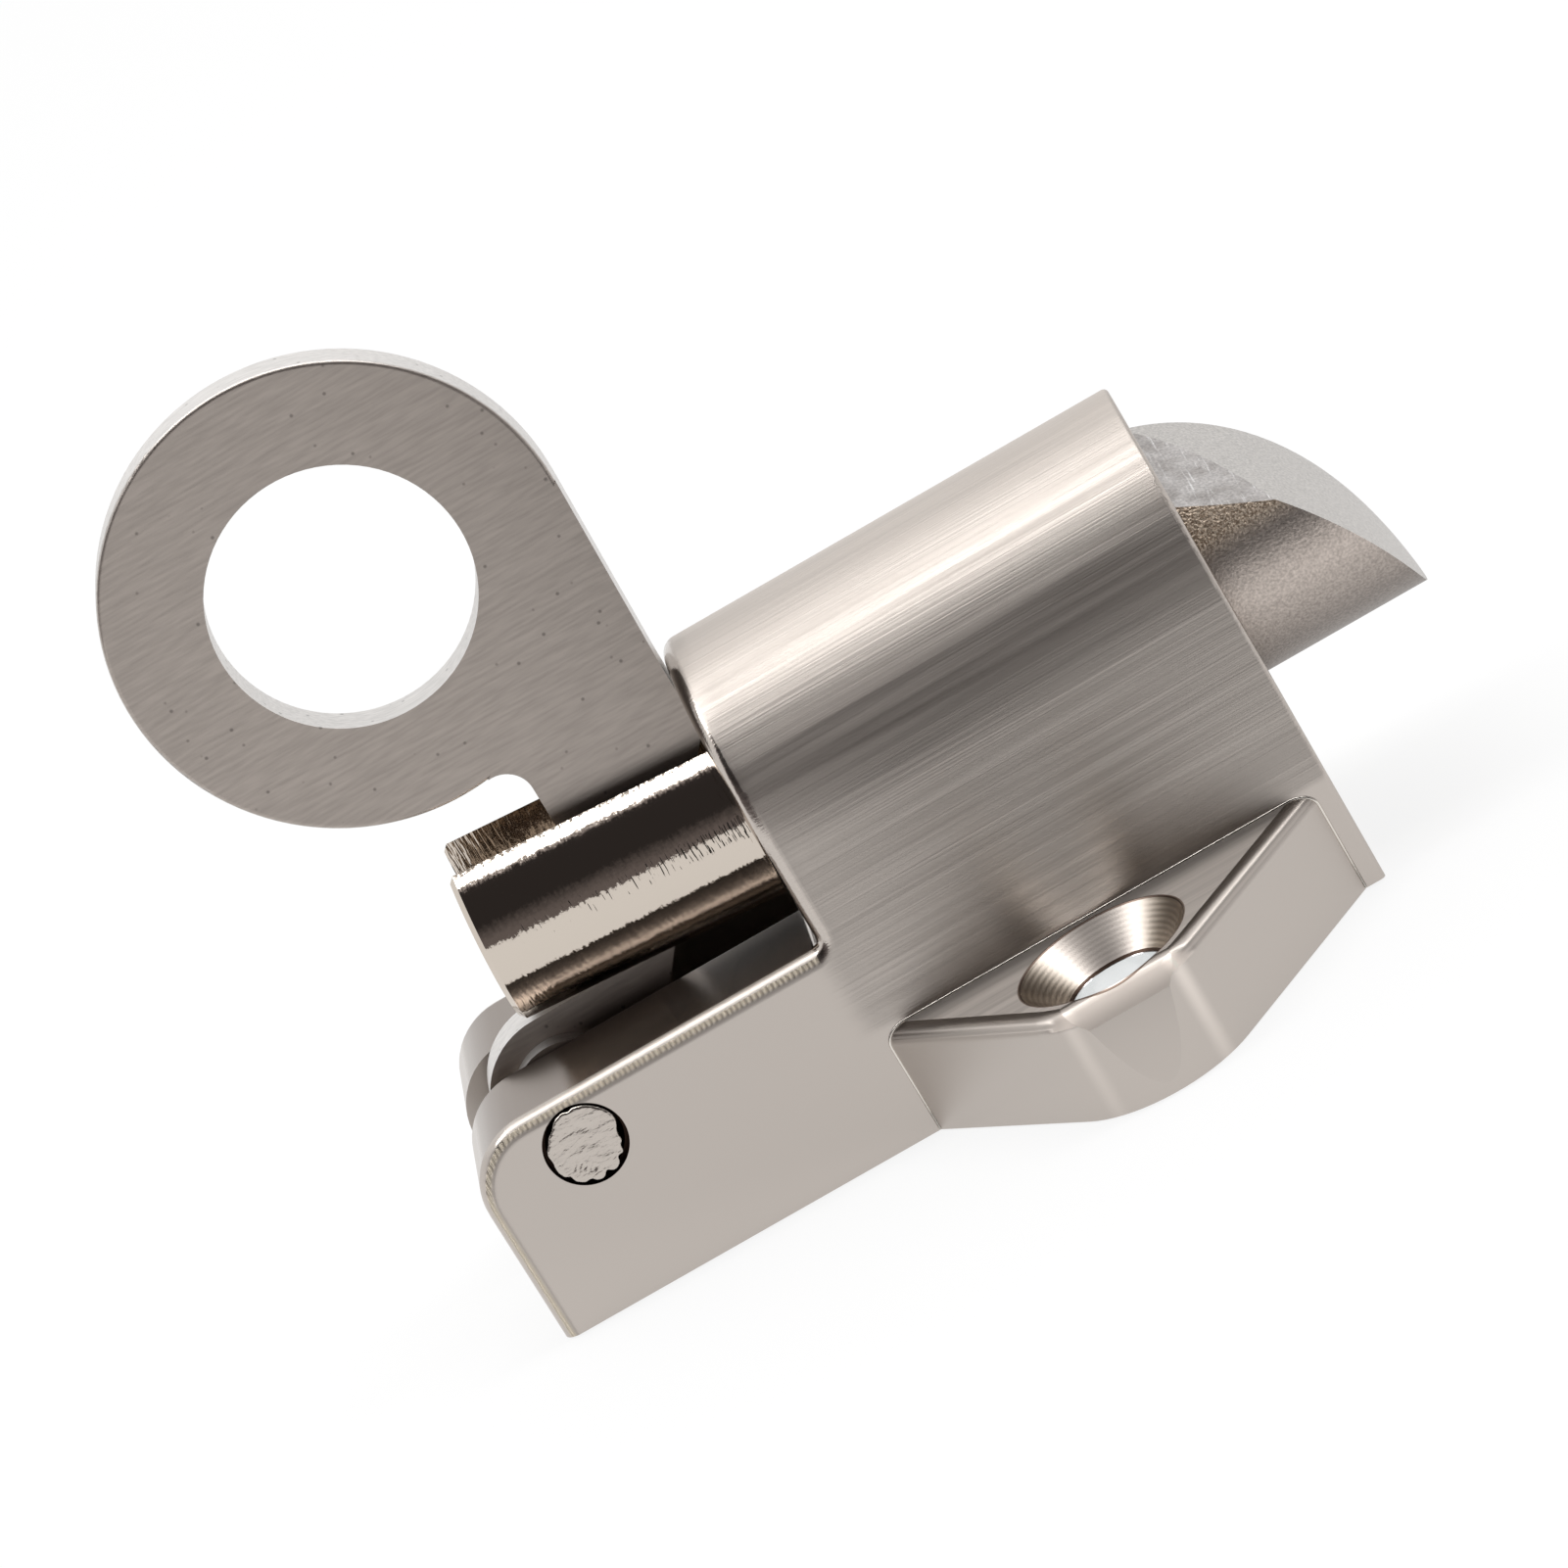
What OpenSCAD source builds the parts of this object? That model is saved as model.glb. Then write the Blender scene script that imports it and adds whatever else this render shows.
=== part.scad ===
// Spring door bolt with a pull ring.
// A die-cast housing screws down through two side lugs. A sprung latch bolt
// runs in its barrel, and the ring lever draws it back by its slotted tail.
// Origin: midway between the two screw holes, on the face that meets the door.
// +X points the way the bolt shoots, +Z is away from the door.

/* [Housing] */
// Length of the base, rear end to front face
base_l = 49.9; // [47:0.1:58]
// Width across the flat sides, which is also the barrel's diameter
body_w = 19.5; // [18.8:0.1:23]
// Height of the barrel's crown above the door
crown_h = 27.6; // [27:0.1:33]
// Length of the barrel, measured back from the front face
barrel_l = 27.5; // [26:0.5:30]
// Height of the two cheeks behind the barrel
cheek_h = 12.1; // [11:0.1:12.4]
// Radius of the cheeks' rear top corner, seen from the side
cheek_corner_r = 4; // [2:0.5:6]
// Gap between the cheeks, for the lever's hub
cheek_gap = 5.2; // [4.2:0.1:7]
// Thickness of the floor under that gap
floor_t = 3.4; // [2:0.2:4]
// Thickness of the barrel's rear wall, round the tail rod
rear_wall = 3; // [2:0.25:4]
// Radius of the soft outer edges at the rear
edge_r = 0.9; // [0.4:0.1:1.4]
// Radius of the inside corner where the cheeks meet the barrel's rear face
inner_r = 0.6; // [0.3:0.1:1]
// Radius of the crisp edge round the front face
front_edge_r = 0.3; // [0.1:0.1:0.6]

/* [Cored underside] */
// Wall left round the cored pocket under the barrel
core_wall = 2.6; // [2:0.2:4]
// Metal left between the pocket and the bolt's bore
core_roof = 2.4; // [1.6:0.2:4]
// Corner radius of the pocket
core_corner_r = 1.5; // [0.5:0.25:2.5]

/* [Mounting lugs] */
// Distance between the two screw holes
hole_spacing = 30.2; // [29:0.2:36]
// Distance from the screw holes to the front face
hole_to_front = 14.7; // [13.5:0.1:17]
// Diameter of the screw holes
hole_d = 5.5; // [4:0.1:6]
// Diameter of the countersink at the lug's top
countersink_d = 9.7; // [8:0.1:10]
// Thickness of the lugs
lug_t = 6.4; // [5:0.1:8]
// Radius of the lug's rounded tip, round the screw hole
lug_tip_r = 6.2; // [5.9:0.05:7]
// Reach of the lug along the wall, forward of the hole
lug_fore = 13.5; // [11:0.1:13.6]
// Reach of the lug along the wall, behind the hole
lug_aft = 12.3; // [10:0.1:14]
// Radius of the lug's top edge
lug_edge_r = 1; // [0.5:0.1:1.5]
// How much the flat dressed on the lug's tip takes off at the top
tip_flat = 0.6; // [0.2:0.05:0.8]
// Lean of that flat in degrees, which leaves the base outline round
tip_lean = 6; // [3:0.5:8]
// Radius of the soft edge above that flat
tip_edge_r = 1.8; // [1:0.1:2.4]

/* [Latch bolt] */
// Diameter of the latch bolt
bolt_d = 15.2; // [14:0.1:16]
// How far the tip stands out of the front face
bolt_out = 9.8; // [7:0.1:12]
// Length of the latch bolt inside the barrel at rest
bolt_in = 9.5; // [8:0.5:10.5]
// Radius of the curved ramp
ramp_r = 20.1; // [18:0.1:26]
// Depth of the ramp's centre below the bolt's axis
ramp_drop = 11.2; // [9:0.1:12]
// Height of the dressed flat above the axis, at the front face
flat_h = 5.65; // [5.3:0.05:6.2]
// Downward pitch of the dressed flat in degrees
flat_pitch = 20.7; // [14:0.1:24]
// Sideways lean of the dressed flat in degrees
flat_lean = 10.4; // [0:0.1:14]
// Diameter of the blind hole that takes the tail rod's spigot
spigot_d = 7; // [6:0.1:8]
// Depth of that hole
spigot_l = 7; // [6:0.5:8]
// Diameter of the cross pin that holds the bolt on the rod
cross_pin_d = 2.5; // [1.5:0.1:3]
// How far the bolt draws back into the barrel
travel = 10; // [8:0.5:10]

/* [Tail rod] */
// Diameter of the tail rod
rod_d = 10.5; // [10:0.1:11]
// How far the rod stands out behind the barrel
rod_out = 15.9; // [14:0.1:18]
// Upward set of the tail in degrees, which clears the lever's eye
tail_rise = 4; // [3.5:0.1:4.5]
// Width of the slot that the lever passes through
rod_slot_w = 5.4; // [4:0.1:6]
// Height of the pulling web above the pivot's axis
web_top = 11.4; // [10.5:0.1:12]
// Chamfer round the rod's rear end
rod_chamfer = 0.3; // [0:0.1:0.6]
// Step down in radius from the guided run to the tail
rod_step = 0.1; // [0.08:0.01:0.2]

/* [Ring lever] */
// Thickness of the lever's plate
plate_t = 2.7; // [2:0.1:3.4]
// Outside diameter of the pull ring
ring_d = 25.6; // [24.4:0.1:27]
// Diameter of the finger hole
ring_hole_d = 14.4; // [12:0.1:16]
// Height of the ring's centre above the pivot
ring_rise = 30.15; // [29.8:0.05:33]
// How far the ring stands ahead of the leg's front edge
ring_lead = 0.3; // [0.2:0.01:1]
// Width of the lever's leg
leg_w = 9.2; // [8.4:0.1:9.6]
// Radius of the eye round the pivot
eye_r = 4.5; // [3.8:0.1:4.7]
// Radius of the fillet between the ring and the leg
notch_r = 1.6; // [0.8:0.1:2.4]
// Radius of the hub that centres the eye between the cheeks
hub_r = 3.2; // [2.8:0.1:3.4]
// Softened edge of the pull ring
ring_edge = 0.25; // [0.1:0.05:0.5]
// How far the lever turns, in degrees, to draw the bolt back
swing = 50; // [46:1:52]

/* [Pivot pin] */
// Diameter of the pivot pin
pin_d = 4.2; // [3:0.1:4.4]
// Distance from the base's rear end to the pivot
pivot_back = 6.45; // [6.1:0.05:7]
// Height of the pivot above the door
pivot_h = 9.2; // [8.9:0.05:9.3]
// Diameter of the shallow counterbore round each pin end
pin_recess_d = 4.6; // [4.5:0.1:5.4]
// Depth of that counterbore
pin_recess = 0.7; // [0.3:0.1:1.2]
// How far each pin end lies below the cheek's face
pin_set = 0.05; // [0:0.05:0.3]

/* [Spring] */
// Diameter of the spring's wire
wire_d = 0.9; // [0.6:0.1:1]
// Number of turns
coils = 4.5; // [3:0.5:5]

/* [Clearances] */
// Radial running clearance of the bolt and rod in the barrel
slide_gap = 0.08; // [0.03:0.01:0.1]
// Radial running clearance of the lever on its pin
pivot_gap = 0.06; // [0.02:0.01:0.1]
// Radial clearance of pressed and riveted pieces
press_gap = 0.02; // [0.01:0.01:0.03]
// Gap between the lever's leg and the barrel's rear face at rest
rest_gap = 0.12; // [0.05:0.01:0.3]
// Gap between the lever's leg and the pulling web at rest
pull_gap = 0.2; // [0.1:0.05:0.4]
// Gap at each side of the lever's hub and at each end of the spring
side_gap = 0.12; // [0.05:0.01:0.3]
// Least height between the lever's arm and the rod's web as the lever turns
arm_gap = 0.3; // [0.2:0.05:0.6]

/* [Hidden] */
$fn = 96;
far = 60;
sliver = 0.01;
lap = 1;
small_lap = 0.2;
pin_short = 0.5;
turn_steps = 24;
wire_sides = 8;

front_x = hole_to_front;
rear_x = front_x - base_l;
step_x = front_x - barrel_l;
wall_x = step_x + rear_wall;
seam_x = step_x - inner_r;
seam_z = cheek_h + inner_r;
half_w = body_w / 2;
axis_z = crown_h - half_w;
bore_r = bolt_d / 2 + slide_gap;
rod_r = rod_d / 2;
guide_r = rod_r + rod_step;
shoulder_x = front_x - bolt_in;
tip_x = front_x + bolt_out;
ramp_z = axis_z - ramp_drop;
ramp_x = tip_x - sqrt(pow(ramp_r, 2) - pow(ramp_drop - bolt_d / 2, 2));
cross_pin_x = shoulder_x + spigot_l / 2;

pivot_x = rear_x + pivot_back;
leg_front_x = step_x - rest_gap;
leg_back_x = leg_front_x - leg_w;
ring_r = ring_d / 2;
ring_x = leg_front_x + ring_lead - ring_r;
ring_z = pivot_h + ring_rise;
elbow_z = pivot_h + eye_r;
elbow_fillet = 0.5;

tail_x = step_x - rod_out;
bend_x = step_x + 0.2;
tail_l = (bend_x - tail_x) / cos(tail_rise);
slot_end_x = step_x + 0.8;
web_front_x = leg_back_x - pull_gap;
web_top_z = pivot_h + web_top;
// the arm's top lifts under the web's front edge as both move back
arm_lift = max([for (turn = [0 : 2 : swing])
    (web_front_x - travel * turn / swing - pivot_x) * tan(turn) + eye_r * (1 / cos(turn) - 1)]);
web_bottom_z = elbow_z + arm_lift + arm_gap;

// A rectangle from the origin to [w, h] with its far top corner rounded
module soft_corner(w, h, r) {
    union() {
        square([w - r, h]);
        square([w, h - r]);
        translate([w - r, h - r]) circle(r);
    }
}

// The same, mirrored about the Y axis into a shape with two round corners
module soft_top(half, h, r) {
    soft_corner(half, h, r);
    mirror([1, 0]) soft_corner(half, h, r);
}

// Turns a child drawn along Z so that it runs along X from x0
module along_x(x0) translate([x0, 0, 0]) rotate([0, 90, 0]) children();

// Turns a child drawn along Z so that it runs along Y, centred
module across(x, z) translate([x, 0, z]) rotate([90, 0, 0]) children();

// The two cheeks before the gap is cut, with soft outer edges that run
// along the top, round the corner and down the rear end
module cheek_block() {
    corner_z = cheek_h - cheek_corner_r;
    corner_x = rear_x + cheek_corner_r;
    translate([corner_x, 0, 0]) rotate([90, 0, 90])
        linear_extrude(seam_x - corner_x) soft_top(half_w, cheek_h, edge_r);
    across(corner_x, corner_z) rotate([0, 0, 90]) rotate_extrude(angle = 90) {
        soft_corner(cheek_corner_r, half_w, edge_r);
        mirror([0, 1]) soft_corner(cheek_corner_r, half_w, edge_r);
    }
    translate([corner_x, 0, 0]) linear_extrude(corner_z) rotate(90)
        soft_top(half_w, cheek_corner_r, edge_r);
}

// The inside corner between the cheeks' top and the barrel's rear face,
// with the soft outer edge that runs round it from the one to the other
module inner_corner() {
    rim = edge_r + lap;
    translate([seam_x, -half_w, 0]) cube([inner_r + edge_r, body_w, cheek_h - edge_r]);
    across(seam_x, seam_z) rotate(-90) rotate_extrude(angle = 90)
        translate([inner_r + rim, 0]) mirror([1, 0]) {
            soft_corner(rim, half_w, edge_r);
            mirror([0, 1]) soft_corner(rim, half_w, edge_r);
        }
}

// The barrel: flat sides below the axis, a half round above it
module barrel() {
    translate([step_x + edge_r, 0, 0]) linear_extrude(seam_z) rotate(-90)
        soft_top(half_w, barrel_l - edge_r, front_edge_r);
    translate([step_x, 0, seam_z]) linear_extrude(axis_z - seam_z) difference() {
        rotate(-90) soft_top(half_w, barrel_l, front_edge_r);
        for (side = [-1, 1]) rear_corner_cut(side);
    }
    translate([step_x, 0, axis_z]) rotate([0, 90, 0]) rotate_extrude() difference() {
        soft_corner(half_w, barrel_l, front_edge_r);
        translate([half_w - edge_r, 0]) difference() {
            translate([0, -sliver]) square([edge_r + sliver, edge_r + sliver]);
            translate([0, edge_r]) circle(edge_r);
        }
    }
}

// What the soft rear edge takes off one side of the barrel's plan
module rear_corner_cut(side) scale([1, side]) translate([0, half_w - edge_r]) difference() {
    translate([-sliver, 0]) square([edge_r + sliver, edge_r + sliver]);
    translate([edge_r, 0]) circle(edge_r);
}

// One lug on the -Y side: a round tip at the screw hole and two straight
// flanks that run to the wall, with a flat dressed on the tip
module lug() difference() {
    hole_y = -hole_spacing / 2;
    wall_y = -half_w;
    union() {
        translate([0, hole_y, 0]) rotate_extrude() soft_corner(lug_tip_r, lug_t, lug_edge_r);
        flank(lug_fore, wall_y - hole_y, 1);
        flank(lug_aft, wall_y - hole_y, -1);
        linear_extrude(lug_t) polygon([
            [-lug_aft + 2 * lug_edge_r, wall_y + lap],
            [lug_fore - 2 * lug_edge_r, wall_y + lap],
            [0, hole_y]]);
    }
    tip_dressing(hole_y - lug_tip_r + tip_flat);
}

// What the leaning flat and its soft top edge take off the tip. flat_y is
// where the flat would meet the lug's top.
module tip_dressing(flat_y) {
    edge_y = flat_y - tip_edge_r * tan(tip_lean) - sliver;
    edge_z = lug_t - tip_edge_r + 2 * sliver;
    translate([0, flat_y, lug_t]) rotate([-tip_lean, 0, 0])
        translate([-lug_tip_r, -2 * lap, -2 * lug_t]) cube([2 * lug_tip_r, 2 * lap, 2 * lug_t + lap]);
    rotate([90, 0, 90]) linear_extrude(2 * lug_tip_r, center = true) difference() {
        translate([edge_y - 2 * lap, edge_z]) square([tip_edge_r + 2 * lap, tip_edge_r + lap]);
        translate([edge_y + tip_edge_r, edge_z]) circle(tip_edge_r);
    }
}

// A flank that is tangent to the lug's tip and meets the wall at reach
module flank(reach, depth, dir) {
    span = sqrt(reach * reach + depth * depth);
    lean = atan2(depth, reach) + asin(lug_tip_r / span);
    run = sqrt(span * span - lug_tip_r * lug_tip_r) + lap;
    translate([0, -hole_spacing / 2, 0]) scale([dir, 1, 1]) rotate(lean) rotate([90, 0, 90])
        linear_extrude(run) mirror([1, 0]) soft_corner(lug_tip_r, lug_t, lug_edge_r);
}

module screw_hole() {
    sink = (countersink_d - hole_d) / 2;
    translate([0, 0, -lap]) cylinder(d = hole_d, h = lug_t + 2 * lap);
    translate([0, 0, lug_t - sink])
        cylinder(d1 = hole_d, d2 = countersink_d + 2 * small_lap, h = sink + small_lap);
}

// The pocket that a die casting has under its thick part
module core_pocket() {
    x0 = wall_x + core_wall;
    l = front_x - core_wall - x0;
    w = body_w - 2 * core_wall;
    r = core_corner_r;
    depth = axis_z - bore_r - core_roof;
    translate([x0, -w / 2, -lap]) linear_extrude(depth + lap) union() {
        translate([r, 0]) square([l - 2 * r, w]);
        translate([0, r]) square([l, w - 2 * r]);
        for (x = [r, l - r], y = [r, w - r]) translate([x, y]) circle(r);
    }
}

module housing() color("#b5b0aa") difference() {
    union() {
        cheek_block();
        inner_corner();
        barrel();
        lug();
        mirror([0, 1, 0]) lug();
    }
    // bore for the bolt, and the hole in the rear wall for the rod
    translate([0, 0, axis_z]) along_x(wall_x) cylinder(r = bore_r, h = barrel_l);
    translate([0, 0, axis_z]) along_x(step_x - lap)
        cylinder(r = guide_r + slide_gap, h = rear_wall + 2 * lap);
    // gap between the cheeks
    translate([rear_x - lap, -cheek_gap / 2, floor_t])
        cube([step_x - rear_x + lap, cheek_gap, cheek_h]);
    // pivot hole with a shallow counterbore at each end
    across(pivot_x, pivot_h) cylinder(d = pin_d + 2 * press_gap, h = 2 * far, center = true);
    for (side = [-1, 1]) across(pivot_x, pivot_h)
        translate([0, 0, side * half_w]) cylinder(d = pin_recess_d, h = 2 * pin_recess, center = true);
    for (side = [-1, 1]) translate([0, side * hole_spacing / 2, 0]) screw_hole();
    core_pocket();
}

// Round bolt with a curved ramp, and a flat dressed on one side of it
module latch_bolt() color("#a8a39b") difference() {
    intersection() {
        translate([0, 0, axis_z]) along_x(shoulder_x) cylinder(d = bolt_d, h = bolt_in + bolt_out + lap);
        across(ramp_x, ramp_z) cylinder(r = ramp_r, h = 2 * bolt_d, center = true, $fn = 240);
    }
    translate([front_x, 0, axis_z + flat_h]) rotate([flat_lean, 0, 0]) rotate([0, flat_pitch, 0])
        translate([-far, -far, 0]) cube(2 * far);
    translate([0, 0, axis_z]) along_x(shoulder_x - lap)
        cylinder(d = spigot_d, h = spigot_l + lap + side_gap);
    across(cross_pin_x, axis_z) cylinder(d = cross_pin_d + 2 * press_gap, h = far, center = true, $fn = 48);
}

// Round rod in three runs: the spigot, the part in the barrel, and the
// raised tail, slotted for the lever and closed at the rear by a web
module tail_rod() color("#c9c2b8") difference() {
    union() {
        translate([0, 0, axis_z]) along_x(shoulder_x - lap)
            cylinder(d = spigot_d - 2 * press_gap, h = spigot_l + lap);
        translate([0, 0, axis_z]) along_x(bend_x) cylinder(r = guide_r, h = shoulder_x - bend_x);
        translate([bend_x, 0, axis_z]) rotate([0, -90 + tail_rise, 0]) {
            translate([0, 0, -lap / 2]) cylinder(r = rod_r, h = tail_l - rod_chamfer + lap / 2);
            translate([0, 0, tail_l - rod_chamfer])
                cylinder(r1 = rod_r, r2 = rod_r - rod_chamfer, h = rod_chamfer);
        }
    }
    // slot from top to bottom where the leg passes
    translate([web_front_x, -rod_slot_w / 2, 0]) cube([slot_end_x - web_front_x, rod_slot_w, far]);
    // the slot stays open above and below the web, out to the rear end
    translate([tail_x - far, -rod_slot_w / 2, web_top_z]) cube([slot_end_x - tail_x + far, rod_slot_w, far]);
    translate([tail_x - far, -rod_slot_w / 2, 0]) cube([slot_end_x - tail_x + far, rod_slot_w, web_bottom_z]);
    across(cross_pin_x, axis_z) cylinder(d = cross_pin_d + 2 * press_gap, h = far, center = true, $fn = 48);
}

module cross_pin() color("#8d8a86")
    across(cross_pin_x, axis_z) cylinder(d = cross_pin_d, h = bolt_d - pin_short, center = true, $fn = 48);

// Helix of round wire round the rod, one ring of points per step
module bolt_spring() color("#9b9892") {
    x0 = wall_x + side_gap + wire_d / 2;
    x1 = shoulder_x - side_gap - wire_d / 2;
    mean_r = (guide_r + bore_r) / 2;
    steps = round(coils * turn_steps);
    sides = wire_sides;
    points = [for (i = [0 : steps], j = [0 : sides - 1])
        let (t = 360 * i / turn_steps, a = 360 * j / sides, r = mean_r + wire_d / 2 * cos(a))
        [x0 + (x1 - x0) * i / steps + wire_d / 2 * sin(a), r * sin(t), axis_z + r * cos(t)]];
    ends = [[for (j = [0 : sides - 1]) j], [for (j = [sides - 1 : -1 : 0]) steps * sides + j]];
    walls = [for (i = [0 : steps - 1], j = [0 : sides - 1])
        let (k = (j + 1) % sides)
        [i * sides + k, i * sides + j, (i + 1) * sides + j, (i + 1) * sides + k]];
    polyhedron(points = points, faces = concat(ends, walls));
}

// Outline of the lever's plate below the ring, drawn as X and Z
module leg_outline() {
    eye_to_corner = [leg_front_x - pivot_x, axis_z + rod_r - pivot_h];
    reach = norm(eye_to_corner);
    tangent = atan2(eye_to_corner[1], eye_to_corner[0]) - acos(eye_r / reach);
    // above the barrel's crown the front edge leans out to the ring's side
    ring_to_crown = [leg_front_x - ring_x, crown_h - ring_z];
    side_r = ring_r - sliver;
    lean = atan2(ring_to_crown[1], ring_to_crown[0]) + acos(side_r / norm(ring_to_crown));
    polygon([
        [leg_back_x, ring_z - (ring_r + ring_hole_d / 2) / 2],
        [leg_back_x, elbow_z],
        [pivot_x, elbow_z],
        [pivot_x, pivot_h],
        [pivot_x + eye_r * cos(tangent), pivot_h + eye_r * sin(tangent)],
        [leg_front_x, axis_z + rod_r],
        [leg_front_x, crown_h],
        [ring_x + side_r * cos(lean), ring_z + side_r * sin(lean)]]);
    translate([pivot_x, pivot_h]) circle(eye_r);
    // fillet in the corner between the arm and the leg
    translate([leg_back_x - elbow_fillet, elbow_z]) difference() {
        translate([0, -sliver]) square([elbow_fillet + sliver, elbow_fillet + sliver]);
        translate([0, elbow_fillet]) circle(elbow_fillet, $fn = 32);
    }
    notch_fillet();
}

// Concave fillet between the ring and the back of the leg
module notch_fillet() {
    cx = leg_back_x - notch_r;
    cz = ring_z - sqrt(pow(ring_r + notch_r, 2) - pow(cx - ring_x, 2));
    share = ring_r / (ring_r + notch_r);
    touch = [ring_x + (cx - ring_x) * share, ring_z + (cz - ring_z) * share];
    difference() {
        polygon([[cx, cz], [leg_back_x + sliver, cz], [leg_back_x + sliver, touch[1] + notch_r], touch]);
        translate([cx, cz]) circle(notch_r);
    }
}

module ring_lever() color("#a39e99") difference() {
    union() {
        across(0, 0) linear_extrude(plate_t, center = true) leg_outline();
        across(ring_x, ring_z) rotate_extrude() pull_ring_half();
        across(pivot_x, pivot_h) cylinder(r = hub_r, h = cheek_gap - 2 * side_gap, center = true);
    }
    across(ring_x, ring_z) cylinder(d = ring_hole_d, h = far, center = true);
    across(pivot_x, pivot_h) cylinder(r = pin_d / 2 + pivot_gap, h = far, center = true);
}

// Half section of the ring, out to its softened outer edges
module pull_ring_half() {
    soft_corner(ring_r, plate_t / 2, ring_edge);
    mirror([0, 1]) soft_corner(ring_r, plate_t / 2, ring_edge);
}

module pivot_pin() color("#bdb6ab")
    across(pivot_x, pivot_h) cylinder(d = pin_d, h = body_w - 2 * pin_set, center = true);

housing();
latch_bolt();
tail_rod();
cross_pin();
bolt_spring();
ring_lever();
pivot_pin();
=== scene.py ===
from math import cos, pi, radians, sin

import bpy
import numpy as np
from mathutils import Matrix, Vector


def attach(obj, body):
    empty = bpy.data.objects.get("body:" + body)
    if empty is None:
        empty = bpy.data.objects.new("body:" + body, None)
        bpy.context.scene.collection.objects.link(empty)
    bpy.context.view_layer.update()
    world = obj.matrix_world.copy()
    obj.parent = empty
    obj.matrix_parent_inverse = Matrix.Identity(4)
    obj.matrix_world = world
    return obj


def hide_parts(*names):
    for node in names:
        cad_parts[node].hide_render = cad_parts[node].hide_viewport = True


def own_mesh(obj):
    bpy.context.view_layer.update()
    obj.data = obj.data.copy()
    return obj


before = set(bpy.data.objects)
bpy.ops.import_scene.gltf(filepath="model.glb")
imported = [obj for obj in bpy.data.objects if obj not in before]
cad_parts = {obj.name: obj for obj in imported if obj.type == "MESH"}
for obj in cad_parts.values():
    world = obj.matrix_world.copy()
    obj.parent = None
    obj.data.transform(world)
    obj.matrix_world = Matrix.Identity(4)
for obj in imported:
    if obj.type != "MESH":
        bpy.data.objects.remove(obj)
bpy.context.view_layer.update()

# The camera. A long lens stands a third of a metre in front of the bolt, a
# little above it, and is rolled so that the bolt shoots up to the right.
MM = 0.001
SENSOR = 36.0
LENS = 157.4
LOOK_AT = Vector((-10.67, 0.0, 17.8)) * MM
DISTANCE = 366.04 * MM
AZIMUTH = radians(4.0)
ELEVATION = radians(18.6)
ROLL = radians(-31.08)

back = Vector((sin(AZIMUTH) * cos(ELEVATION), -cos(AZIMUTH) * cos(ELEVATION), sin(ELEVATION)))
level = back.cross(Vector((0, 0, 1))).normalized() * -1
upright = back.cross(level)
right = level * cos(ROLL) + upright * sin(ROLL)
up = upright * cos(ROLL) - level * sin(ROLL)
camera_data = bpy.data.cameras.new("camera")
camera_data.sensor_width = SENSOR
camera_data.lens = LENS
camera_data.clip_start = 0.01
camera = bpy.data.objects.new("camera", camera_data)
turn = Matrix((right, up, back)).transposed().to_4x4()
camera.matrix_world = Matrix.Translation(LOOK_AT + back * DISTANCE) @ turn
bpy.context.scene.collection.objects.link(camera)
bpy.context.scene.camera = camera
bpy.context.scene.view_settings.view_transform = "Standard"

# The studio. White paper lies under and behind the bolt, one strip light
# hangs above it, and the room behind the camera is dark.
GLOW = 0.85
ROOM_DARK = 0.035
ROOM_LOW = 0.17
FLOOR_SIZE = 6.0
STRIP_HEIGHT = 0.9
STRIP_DEPTH = 0.26
STRIP_LENGTH = 1.6
STRIP_RADIANCE = 5.2
FLAG_LEFT, FLAG_RIGHT = -0.013, 0.06
FLAG_AWAY = 0.07
FLAG_TOP = 0.03


def linear(hex_colour):
    """An sRGB hex colour as linear RGBA."""
    parts = [int(hex_colour[i:i + 2], 16) / 255 for i in (1, 3, 5)]
    return [c / 12.92 if c <= 0.04045 else ((c + 0.055) / 1.055) ** 2.4 for c in parts] + [1.0]


def add(tree, kind, links=None, **settings):
    """Adds a node with its settings. links maps an input's name or number to a value, a socket, or a
    node, which stands for its first output."""
    node = tree.nodes.new(kind)
    for name, value in settings.items():
        setattr(node, name, value)
    for name, value in (links or {}).items():
        if isinstance(value, bpy.types.Node):
            value = value.outputs[0]
        if isinstance(value, bpy.types.NodeSocket):
            tree.links.new(value, node.inputs[name])
        else:
            node.inputs[name].default_value = value
    return node


PAPER = linear("#f4f4f4")
WHITE = linear("#ffffff")
ROOM_TINT = linear("#fff0ee")

world = bpy.data.worlds.new("studio")
bpy.context.scene.world = world
world.use_nodes = True
tree = world.node_tree
tree.nodes.clear()
direction = add(tree, "ShaderNodeTexCoord").outputs["Generated"]
split = add(tree, "ShaderNodeSeparateXYZ", {0: direction})
front = add(tree, "ShaderNodeMapRange",
            {"Value": split.outputs["Y"], "From Min": -0.12, "From Max": -0.3},
            interpolation_type="SMOOTHSTEP")
high = add(tree, "ShaderNodeMapRange",
           {"Value": split.outputs["Z"], "From Min": 0.14, "From Max": 0.45,
            "To Min": ROOM_LOW, "To Max": ROOM_DARK})
glow = add(tree, "ShaderNodeMix", {"Factor": front, "A": 1.0, "B": high})
rays = add(tree, "ShaderNodeLightPath")
seen = rays.outputs["Is Camera Ray"]
glow = add(tree, "ShaderNodeMix", {"Factor": seen, "A": glow, "B": 1.0})
tint = add(tree, "ShaderNodeMix", {"Factor": front, "A": WHITE, "B": ROOM_TINT}, data_type="RGBA")
tint = add(tree, "ShaderNodeMix", {"Factor": seen, "A": tint.outputs["Result"], "B": WHITE},
           data_type="RGBA")
light = add(tree, "ShaderNodeBackground", {"Color": tint.outputs["Result"], "Strength": glow})
add(tree, "ShaderNodeOutputWorld", {"Surface": light})

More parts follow.
